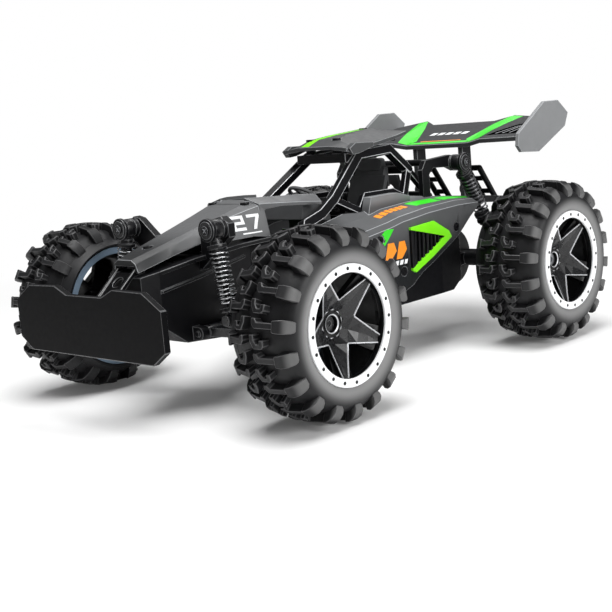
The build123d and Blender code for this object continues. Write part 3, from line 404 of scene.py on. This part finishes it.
def add_shoulder(grid, shift, side, outward):
    """Shoulder block that wraps over the edge of the tread and down the sidewall."""
    way = side * outward * HALF_WIDTH[side]
    drop = 0.0 if side > 0 else INNER_DROP
    profile = [
        (HALF - 6.4, tread_top(HALF - 6.4, side)), (HALF - 4.0, tread_top(HALF - 4.0, side)),
        (HALF - 1.6, RADIUS - 3.0 - drop), (HALF - 0.15, RADIUS - 5.6 - drop), (HALF - 0.05, 33.6 - drop),
        (HALF - 0.8, 32.0 - drop), (HALF - 2.5, 32.4 - drop), (HALF - 5, CROWN - 3.4 - drop),
        (HALF - 6.4, CROWN - 3),
    ]
    spread = [2.4, 2.8, 3.1, 3.0, 2.8, 2.2, 2.2, 2.8, 2.4]
    near = [wrap(way * x, shift - w, r) for (x, r), w in zip(profile, spread)]
    far = [wrap(way * x, shift + w, r) for (x, r), w in zip(profile, spread)]
    add_prism(grid, near, far) if way > 0 else add_prism(grid, far, near)


def sidewall_of(side, outward):
    """Rubber with a painted sheen round the outer bead, by the distance to the wheel's axis."""
    mat = finish(f"sidewall_{side}", (0.012, 0.012, 0.013), rough=0.4, grain=0.06, grain_size=0.5)
    tree = mat.node_tree
    link, new = tree.links.new, tree.nodes.new
    shader = tree.nodes["Principled BSDF"]
    dark = shader.inputs["Base Color"].links[0].from_socket
    split = new("ShaderNodeSeparateXYZ")
    link(new("ShaderNodeTexCoord").outputs["Object"], split.inputs[0])
    flat = new("ShaderNodeCombineXYZ")
    link(split.outputs[1], flat.inputs[1])
    link(split.outputs[2], flat.inputs[2])
    length = new("ShaderNodeVectorMath")
    length.operation = "LENGTH"
    link(flat.outputs[0], length.inputs[0])
    bead_sheen = ramp(tree, length.outputs["Value"], [r * MM for r in SHEEN_SPAN], (1.0, 0.0), eased=True)
    outer_half = maths(tree, "GREATER_THAN", maths(tree, "MULTIPLY", split.outputs[0], outward), 0.0)
    share = maths(tree, "MULTIPLY", bead_sheen, outer_half)
    link(mixed(tree, share, dark, SHEEN_RUBBER), shader.inputs["Base Color"])
    return mat


def tyre_carcass(node, body, side, outward):
    """Carcass turned about the wheel's axis."""
    grid = bmesh.new()
    profile = carcass_profile()
    rings = []
    for i in range(CARCASS_STEPS):
        s = i * 2 * pi * RADIUS / CARCASS_STEPS
        rings.append([grid.verts.new(wrap(outward * x, s, r)) for x, r in profile])
    for i in range(CARCASS_STEPS):
        here, there = rings[i], rings[(i + 1) % CARCASS_STEPS]
        for j in range(len(profile)):
            k = (j + 1) % len(profile)
            grid.faces.new((here[j], there[j], there[k], here[k]))
    return make_piece(f"{node}_carcass", grid, [sidewall_of(side, outward)], body, centre_of(node), smooth=50)


def tyre_tread(node, body, outward):
    """Rows of shoulder blocks, bars and hooks, the inner half set off by half a pitch."""
    grid = bmesh.new()
    for i in range(LUGS):
        for half, offset in ((1, 0.0), (-1, PITCH / 2)):
            shift = i * PITCH + offset
            add_shoulder(grid, shift, half, outward)
            add_lug(grid, BAR, shift, half, outward)
            add_lug(grid, HOOK, shift + HOOK_SHIFT * PITCH, half, outward)
    # The blocks pale towards the outer face: the same painted sheen as on the sidewall.
    rubber = finish(f"rubber_{node}", (0.011, 0.011, 0.012), rough=0.42, mottle=0.15, scuff=0.1, shine=0.3, fades=[
        ((0.1, 0.1, 0.1), 0, outward * (HALF - 3.4) * MM, outward * (HALF - 0.6) * MM)])
    tread = make_piece(f"{node}_tread", grid, [rubber, rubber_glint], body, centre_of(node), smooth=30)
    # The blocks' rounded edges take the paler edge finish, a painted highlight.
    bevel = tread.modifiers.new("bevel", "BEVEL")
    bevel.width = 0.35 * MM
    bevel.segments = 2
    bevel.angle_limit = radians(30)
    bevel.material = 1
    return tread


def dressed_tyre(node, body, side, outward):
    """Detailed mud tyre in the place of a plain one; outward is +1 where its face is towards +X."""
    for piece in (tyre_carcass(node, body, side, outward), tyre_tread(node, body, outward)):
        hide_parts(node)


# ---------------------------------------------------------------- rings and rims
DOTS, DOT_CIRCLE, DOT_RADIUS = 20, 23.2, 0.8
DOT_SINK, DOT_RISE = 0.2, 0.12
SPOKES = 5
SPOKE_ANGLE = radians(46)  # the CAD rims' own
# Along a spoke: distance from the axis and half its width.
SPOKE_ROWS = [(5.2, 3.8), (8.1, 5.9), (12.5, 4.6), (17.0, 3.2), (22.0, 1.7)]
# Section of a spoke's raised edge, which carries a painted highlight: in from the side, and up.
RIDGE = ((-0.1, 0.0), (0.5, 0.0), (0.4, 0.35), (0.0, 0.35))
# The hub's two rings, painted highlights: inner and outer radius, and how far out each of them lies.
HUB_STEPS = 40
HUB_RINGS = ((3.6, 4.1, 8.0, 8.3), (5.7, 6.3, 8.2, 8.2))
BAND_STEPS = 72
BAND_RADII = (25.6, 28.7)


def ring_dots(node, body, outward):
    """Small dark bolt heads set in the pale bead ring."""
    grid = bmesh.new()
    lowest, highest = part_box(node)
    face = (highest if outward > 0 else lowest)[0] - centre_of(node)[0]
    for i in range(DOTS):
        angle = i * 2 * pi / DOTS
        middle = Vector((face, DOT_CIRCLE * MM * cos(angle), DOT_CIRCLE * MM * sin(angle)))
        ring = [polar(0, DOT_RADIUS, t * pi / 4) for t in range(8)]
        near = [middle + p - Vector((DOT_SINK * MM * outward, 0, 0)) for p in ring]
        far = [middle + p + Vector((DOT_RISE * MM * outward, 0, 0)) for p in ring]
        add_prism(grid, near, far) if outward > 0 else add_prism(grid, far, near)
    dots = make_piece(f"{node}_dots", grid, [gloss_black], body, centre_of(node))


def dish(u, v, lift, outward):
    """Point on the rim's dished face: u along a spoke and v across it, in millimetres."""
    out = sqrt(u * u + v * v)
    height = 8.2 + (out - 6.2) * 0.8 if out < 10 else 11.24 + (out - 10) * 0.37
    return Vector((outward * (height + lift), u, v)) * MM


def turned(point, angle):
    """A point turned about the wheel's axis."""
    x, y, z = point
    return Vector((x, y * cos(angle) - z * sin(angle), y * sin(angle) + z * cos(angle)))


def add_spoke(grid, angle, outward):
    """Tapering spoke with a valley along its middle, flanks down into the dish and raised edges with painted
    highlights.
    """
    faces = []
    for (u0, v0), (u1, v1) in zip(SPOKE_ROWS, SPOKE_ROWS[1:]):
        for sign in (-1, 1):
            corners = [dish(u0, 0, 0.1, outward), dish(u0, sign * v0, 0.5, outward),
                       dish(u1, sign * v1, 0.5, outward), dish(u1, 0, 0.1, outward)]
            faces.append((corners, 0))
            deep = [dish(u0, sign * v0, -3.5, outward), dish(u1, sign * v1, -3.0, outward)]
            faces.append(([corners[1], corners[2], deep[1], deep[0]], 2))
    for corners, material in faces:
        add_face(grid, [turned(p, angle) for p in corners], material)
    for row, next_row in zip(SPOKE_ROWS[1:], SPOKE_ROWS[2:]):
        for sign in (-1, 1):
            ends = [[turned(dish(u, sign * (v - inset), 0.5 + rise, outward), angle) for inset, rise in RIDGE]
                    for u, v in (row, next_row)]
            add_prism(grid, *ends, 1)


def rim_star(node, body, outward):
    """Spokes and hub rings with painted highlights, laid on the CAD rim's own spokes and hub."""
    grid = bmesh.new()
    for i in range(SPOKES):
        add_spoke(grid, SPOKE_ANGLE + i * 2 * pi / SPOKES, outward)
    for i in range(HUB_STEPS):
        a, b = i * 2 * pi / HUB_STEPS, (i + 1) * 2 * pi / HUB_STEPS
        for low, high, x0, x1 in HUB_RINGS:
            add_face(grid, [polar(outward * x0, low, a), polar(outward * x1, high, a),
                            polar(outward * x1, high, b), polar(outward * x0, low, b)], 1)
    join_points(grid)
    centre = centre_of(node.replace("rim", "tyre"))
    star = make_piece(f"{node}_star", grid, [spoke_grey, bright_glint, rim_black], body, centre)


def back_ring(node, body, outward):
    """Slate-blue band round the back of the rim."""
    grid = bmesh.new()
    x = -outward * (HALF - 1.0)
    inner, outer = BAND_RADII
    for i in range(BAND_STEPS):
        a, b = i * 2 * pi / BAND_STEPS, (i + 1) * 2 * pi / BAND_STEPS
        add_face(grid, [polar(x, inner, a), polar(x, outer, a), polar(x, outer, b), polar(x, inner, b)])
    join_points(grid)
    band = make_piece(f"{node}_band", grid, [slate], body, centre_of(node.replace("rim", "tyre")))
    skin = band.modifiers.new("skin", "SOLIDIFY")
    skin.thickness = 0.15 * MM


for side, outward in SIDES:
    for end, body in (("front", f"front_wheel_{side}"), ("rear", "rear_axle")):
        dressed_tyre(f"tyre_{end}_{side}", body, side, outward)
        ring_dots(f"bead_ring_{end}_{side}", body, outward)
        rim_star(f"rim_{end}_{side}", body, outward)
        back_ring(f"rim_{end}_{side}", body, outward)

# ---------------------------------------------------------------- springs and shock caps
TURN_STEPS = 14
WIRE_SIDES = 6
SCREW_STEPS = 20
# Washer and head: radius, lower face, upper face, material.
SCREW_DISCS = ((4.1, -0.1, 0.3, 0), (2.1, 0.2, 0.9, 1))
SCREW_TAPER = 0.93
CROSS = ((1.3, 0.25), (-1.3, 0.25), (-1.3, -0.25), (1.3, -0.25))


def across(axis):
    """Two unit vectors at right angles to a direction and to each other."""
    first = Vector(axis).orthogonal().normalized()
    return first, Vector(axis).cross(first).normalized()


def coil(shock, side, turns, wire, mat):
    """Fine coil spring in the place of the plain one, along its shock's stroke."""
    node, body = f"{shock}_spring_{side}", f"{shock}_shock_{side}"
    stroke = f"{body}_stroke"
    lowest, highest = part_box(node)
    centre, extent = (lowest + highest) / 2, highest - lowest
    axis = Vector(joints[stroke]["axis"]).normalized()
    lean = 0 if abs(axis.x) > abs(axis.y) else 1
    width = extent[1 - lean]
    length = (extent.z - width * abs(axis[lean])) / abs(axis.z)
    radius, half = width / 2 - wire * MM, length / 2 - wire * MM
    first, second = across(axis)
    grid = bmesh.new()
    rings = []
    steps = turns * TURN_STEPS
    for i in range(steps + 1):
        angle = i * 2 * pi / TURN_STEPS
        out = first * cos(angle) + second * sin(angle)
        middle = axis * (half - 2 * half * i / steps) + out * radius
        section = [t * 2 * pi / WIRE_SIDES for t in range(WIRE_SIDES)]
        rings.append([grid.verts.new(middle + (out * cos(t) + axis * sin(t)) * wire * MM) for t in section])
    for here, there in zip(rings, rings[1:]):
        for j in range(WIRE_SIDES):
            k = (j + 1) % WIRE_SIDES
            grid.faces.new((here[j], here[k], there[k], there[j]))
    grid.faces.new(rings[0][::-1])
    grid.faces.new(rings[-1])
    spring = make_piece(f"{node}_coil", grid, [mat], body, centre, smooth=60)
    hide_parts(node)
    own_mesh(spring)


def cap_screw(name, centre, way, body):
    """Washer and cross-head screw on the end of a shock pin."""
    grid = bmesh.new()
    first, second = across(way)
    way = Vector(way)
    for radius, low, high, material in SCREW_DISCS:
        angles = [i * 2 * pi / SCREW_STEPS for i in range(SCREW_STEPS)]
        ring = [first * cos(angle) + second * sin(angle) for angle in angles]
        add_prism(grid, [(p * radius + way * low) * MM for p in ring],
                  [(p * radius * SCREW_TAPER + way * high) * MM for p in ring], material)
    # The steel cross on the dark head stands for the glints in the cross recess: a painted highlight.
    for one, other in ((first, second), (second, first)):
        corners = [one * u + other * v for u, v in CROSS]
        add_prism(grid, [(p + way * 0.8) * MM for p in corners], [(p + way * 0.95) * MM for p in corners], 2)
    screw = make_piece(name, grid, [black, gloss_black, steel, glint_and_slat_grey], body, centre)
    # The rounded edges of washer and head take the pale grey, a painted highlight.
    edge = screw.modifiers.new("bevel", "BEVEL")
    edge.width = 0.15 * MM
    edge.angle_limit = radians(40)
    edge.material = 3


for side, outward in SIDES:
    coil("front", side, 12, 0.33, chrome)
    coil("rear", side, 10, 0.5, dark_spring)
    pin = Vector(joints[f"front_shock_{side}_swing"]["pos_m"])
    pin.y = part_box("front_shock_tower")[0].y
    cap_screw(f"front_cap_screw_{side}", pin, (0, -1, 0), "chassis")
    pin = Vector(joints[f"rear_shock_{side}_swing"]["pos_m"])
    pin.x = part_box("rear_shock_tower")[1 if outward > 0 else 0].x
    cap_screw(f"rear_cap_screw_{side}", pin, (outward, 0, 0), "chassis")

# ---------------------------------------------------------------- painted trim
FILM_EDGE = 1.6
FILM_CUTS = 5
FILM_THICKNESS = 0.05
surfaces = {}


def surface_of(node):
    """Search tree of a CAD node's mesh, made once."""
    if node not in surfaces:
        mesh = nodes[node].data
        points, polygons = [v.co for v in mesh.vertices], [tuple(p.vertices) for p in mesh.polygons]
        surfaces[node] = BVHTree.FromPolygons(points, polygons)
    return surfaces[node]


def decal(name, node, outlines, place, towards, mat, lift=0.06):
    """Thin paint film laid on a CAD node: flat outlines are dropped on its surface along a direction."""
    grid = bmesh.new()
    for outline in outlines:
        grid.faces.new([grid.verts.new(place(u, v)) for u, v in outline])
    bmesh.ops.triangulate(grid, faces=grid.faces)
    for _ in range(FILM_CUTS):
        long_edges = [edge for edge in grid.edges if edge.calc_length() > FILM_EDGE * MM]
        if not long_edges:
            break
        bmesh.ops.subdivide_edges(grid, edges=long_edges, cuts=1)
        bmesh.ops.triangulate(grid, faces=grid.faces)
    way = Vector(towards).normalized()
    tree = surface_of(node)
    lost = []
    for vert in grid.verts:
        spot = tree.ray_cast(vert.co, way)[0]
        if spot is None:
            lost.append(vert)
        else:
            vert.co = spot - way * lift * MM
    bmesh.ops.delete(grid, geom=lost, context="VERTS")
    bmesh.ops.dissolve_limit(grid, angle_limit=radians(0.5), verts=grid.verts, edges=grid.edges)
    film = make_piece(name, grid, [mat], "chassis")
    skin = film.modifiers.new("film", "SOLIDIFY")
    skin.thickness = FILM_THICKNESS * MM
    skin.offset = 0


def slab(u0, v0, u1, v1, slant=0.0):
    """Four-sided mark, its top pushed along by the slant."""
    return [(u0, v0), (u1, v0), (u1 + slant, v1), (u0 + slant, v1)]


def shifted(outline, step, count):
    """Copies of an outline in a row along u."""
    return [[(u + step * i, v) for u, v in outline] for i in range(count)]


def top_of(node, height):
    """Drawing plane above a node, v from its front edge."""
    y0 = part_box(node)[0][1]
    return lambda u, v: Vector((u * MM, y0 + v * MM, height * MM))


def side_trim(side, outward):
    """Paint on the flank and the shoulder of a side panel, placed from the vent's lower front corner."""
    _, y0, z0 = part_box(f"side_vent_{side}")[0]
    node = f"body_side_{side}"
    inward = (-outward, 0, 0)

    def flank(u, v):
        return Vector((outward * 60 * MM, y0 + u * MM, z0 + v * MM))

    def deck(u, v):
        return Vector((outward * v * MM, y0 + u * MM, 110 * MM))

    leaf = [(-24.5, 12.0), (-18.8, 13.4), (-10.6, 23.4), (-15.6, 23.8), (-20.8, 19.0)]
    arrow = [(-17.0, 8.4), (-13.1, 8.4), (-9.3, 12.6), (-10.9, 16.8), (-14.8, 16.8), (-13.2, 12.6)]
    dash = slab(-14.0, 5.4, -11.8, 7.6, 0.8)
    decal(f"flank_leaf_{side}", node, [leaf], flank, inward, green)
    decal(f"flank_arrows_{side}", node, shifted(arrow, 7.4, 2), flank, inward, orange)
    decal(f"flank_dashes_{side}", node, shifted(dash, 3.2, 4), flank, inward, white)

    stripes = [[(13.0, 33.0), (36.0, 31.7), (38.0, 37.3), (16.0, 38.6)],
               [(38.5, 31.6), (68.0, 31.0), (68.0, 33.4), (40.5, 37.1)]]
    mark = [(-13.0, 34.0), (-10.0, 33.8), (-8.8, 37.2), (-11.8, 37.4)]
    decal(f"shoulder_stripe_{side}", node, stripes, deck, DOWN, green)
    decal(f"shoulder_marks_{side}", node, shifted(mark, 3.9, 6), deck, DOWN, orange)


def hood_trim(side, outward):
    """Plain race number on the hood's cheek, which reads the right way round on both sides."""
    y0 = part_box("front_shock_tower")[1][1]
    first_and_last = 16.6 + 30.4

    def cheek(u, v):
        along = u if outward > 0 else first_and_last - u
        return Vector((outward * 40 * MM, y0 + along * MM, v * MM))

    two = [slab(16.6, 81.4, 22.6, 82.7), slab(21.2, 79.6, 22.6, 81.6), slab(16.6, 78.7, 22.6, 80.0),
           slab(16.6, 76.9, 18.0, 78.9), slab(16.6, 76.0, 22.6, 77.3)]
    seven = [slab(24.4, 81.4, 30.4, 82.7), [(28.8, 81.6), (30.4, 81.6), (27.8, 76.0), (26.2, 76.0)]]
    rule = [slab(20.0, 74.2, 30.0, 74.8)]
    decal(f"race_number_{side}", "hood", two + seven + rule, cheek, (-outward, 0, 0), white)


def roof_trim():
    """Lime flash across the roof."""
    flash = [(-9.0, 0.6), (-4.0, 0.6), (-1.0, 17.0), (2.0, 38.0), (-1.0, 38.0), (-5.5, 17.0)]
    decal("roof_flash", "roof_panel", [flash], top_of("roof_panel", 140), DOWN, lime)


def wing_trim():
    """Green bands and front edge, dark gills with pale slats, an orange pinstripe and plain white bars."""
    node = "rear_wing"
    top = top_of(node, 150)
    bands, gills, slats = [], [], []
    for s in (1, -1):
        bands.append([(s * 20.5, 6.2), (s * 28.0, 6.4), (s * 36.5, 39.5), (s * 29.5, 38.6), (s * 24.0, 28.0),
                      (s * 17.5, 10.5)])
        gills.append([(s * 32.0, 8.6), (s * 52.0, 8.6), (s * 52.0, 29.0), (s * 42.5, 26.0)])
        for shift in (0.0, 4.6, 9.2):
            along, back = 0.45 * shift, 0.3 * shift
            slats.append([(s * (37.0 + shift), 9.4), (s * (37.8 + shift), 9.4), (s * (46.0 + along), 23.4 + back),
                          (s * (45.2 + along), 23.2 + back)])
    bands.append([(-21.0, 6.2), (21.0, 6.2), (20.0, 8.4), (-20.0, 8.4)])
    decal("wing_bands", node, bands, top, DOWN, green)
    decal("wing_gills", node, gills, top, DOWN, gill_black, lift=0.1)
    decal("wing_slats", node, slats, top, DOWN, glint_and_slat_grey, lift=0.3)
    decal("wing_pinstripe", node, [slab(-14, 9.2, 14, 10.0)], top, DOWN, orange)
    bar = slab(-13.5, 17.5, -9.8, 20.5, 1.2)
    decal("wing_bars", node, shifted(bar, 5.5, 5), top, DOWN, white)


for side, outward in SIDES:
    side_trim(side, outward)
    hood_trim(side, outward)
roof_trim()
wing_trim()

# ---------------------------------------------------------------- floor, light, camera
low, high = cad_box
reach = (Vector(high) - Vector(low)).length
FLOOR_PALE = (0.86, 0.86, 0.86)
FLOOR_GAP = 0.2
# The floor's own glow towards the camera grows over this span of distances, in lengths of the car's diagonal.
GLOW_SPAN = (0.55, 1.5)
GLOW_LEAST = 0.06
SURROUND_LIGHT = 0.15
# Lamps: place, target, size and watts.
LAMPS = {
    "top": ((0.1, -0.12, 0.95), (0, 0, 0.04), (0.7, 0.7), 12.0),
    "left": ((0.95, -0.05, 0.45), (0, 0.03, 0.04), (0.6, 0.5), 6.5),
    "back": ((-0.5, 0.9, 0.9), (0, 0, 0.05), (0.6, 0.3), 2.0),
}
CAMERA_PLACE = (0.3908, -0.4199, 0.1273)
CAMERA_YAW, CAMERA_PITCH, CAMERA_ROLL = radians(43.95), radians(9.77), radians(-5.0)
CAMERA_LENS = 66.87


def backdrop_finish():
    """Pale floor that fades into the white surround away from the car and keeps its shadow."""
    mat = bpy.data.materials.new("studio_floor")
    mat.use_nodes = True
    tree = mat.node_tree
    link, new = tree.links.new, tree.nodes.new
    tree.nodes.clear()
    out = new("ShaderNodeOutputMaterial")
    diffuse = new("ShaderNodeBsdfDiffuse")
    diffuse.inputs["Color"].default_value = (*FLOOR_PALE, 1)
    glow = new("ShaderNodeEmission")
    glow.inputs["Color"].default_value = (1, 1, 1, 1)
    length = new("ShaderNodeVectorMath")
    length.operation = "LENGTH"
    link(new("ShaderNodeTexCoord").outputs["Object"], length.inputs[0])
    far = ramp(tree, length.outputs["Value"], [reach * part for part in GLOW_SPAN], (GLOW_LEAST, 1.0), eased=True)
    mix = new("ShaderNodeMixShader")
    link(maths(tree, "MULTIPLY", new("ShaderNodeLightPath").outputs["Is Camera Ray"], far), mix.inputs[0])
    link(diffuse.outputs[0], mix.inputs[1])
    link(glow.outputs[0], mix.inputs[2])
    link(mix.outputs[0], out.inputs[0])
    return mat


def make_floor():
    """Wide disc just under the tyres."""
    grid = bmesh.new()
    bmesh.ops.create_circle(grid, cap_ends=True, segments=64, radius=reach * 6)
    mesh = bpy.data.meshes.new("floor")
    grid.to_mesh(mesh)
    grid.free()
    floor = bpy.data.objects.new("floor", mesh)
    mesh.materials.append(backdrop_finish())
    floor.location = (0, 0, low[2] - FLOOR_GAP * MM)
    bpy.context.scene.collection.objects.link(floor)


def make_world():
    """Even pale surround: white to the camera, softer as a source of light."""
    world = bpy.data.worlds.new("studio")
    bpy.context.scene.world = world
    world.use_nodes = True
    tree = world.node_tree
    back = tree.nodes["Background"]
    back.inputs["Color"].default_value = (1, 1, 1, 1)
    seen = tree.nodes.new("ShaderNodeLightPath").outputs["Is Camera Ray"]
    tree.links.new(ramp(tree, seen, onto=(SURROUND_LIGHT, 1.0)), back.inputs["Strength"])


def lamp(name, place, target, size, watts):
    """Rectangular lamp that faces its target."""
    data = bpy.data.lights.new(name, "AREA")
    data.shape = "RECTANGLE"
    data.size, data.size_y = size
    data.energy = watts
    light = bpy.data.objects.new(name, data)
    light.location = place
    light.rotation_euler = (Vector(target) - Vector(place)).to_track_quat("-Z", "Y").to_euler()
    bpy.context.scene.collection.objects.link(light)


def make_camera():
    """Low three-quarter view over the front left wheel, tilted a little clockwise."""
    yaw, pitch, roll = CAMERA_YAW, CAMERA_PITCH, CAMERA_ROLL
    data = bpy.data.cameras.new("camera")
    data.sensor_width = 36
    data.lens = CAMERA_LENS
    data.clip_start = 0.01
    camera = bpy.data.objects.new("camera", data)
    ahead = Vector((-sin(yaw) * cos(pitch), cos(yaw) * cos(pitch), -sin(pitch)))
    right = ahead.cross(Vector((0, 0, 1))).normalized()
    up = right.cross(ahead)
    side = right * cos(roll) + up * sin(roll)
    top = up * cos(roll) - right * sin(roll)
    camera.matrix_world = Matrix.Translation(CAMERA_PLACE) @ Matrix((side, top, -ahead)).transposed().to_4x4()
    bpy.context.scene.collection.objects.link(camera)
    bpy.context.scene.camera = camera


make_floor()
make_world()
for name, lamp_values in LAMPS.items():
    lamp(name, *lamp_values)
make_camera()
bpy.context.scene.view_settings.view_transform = "Standard"
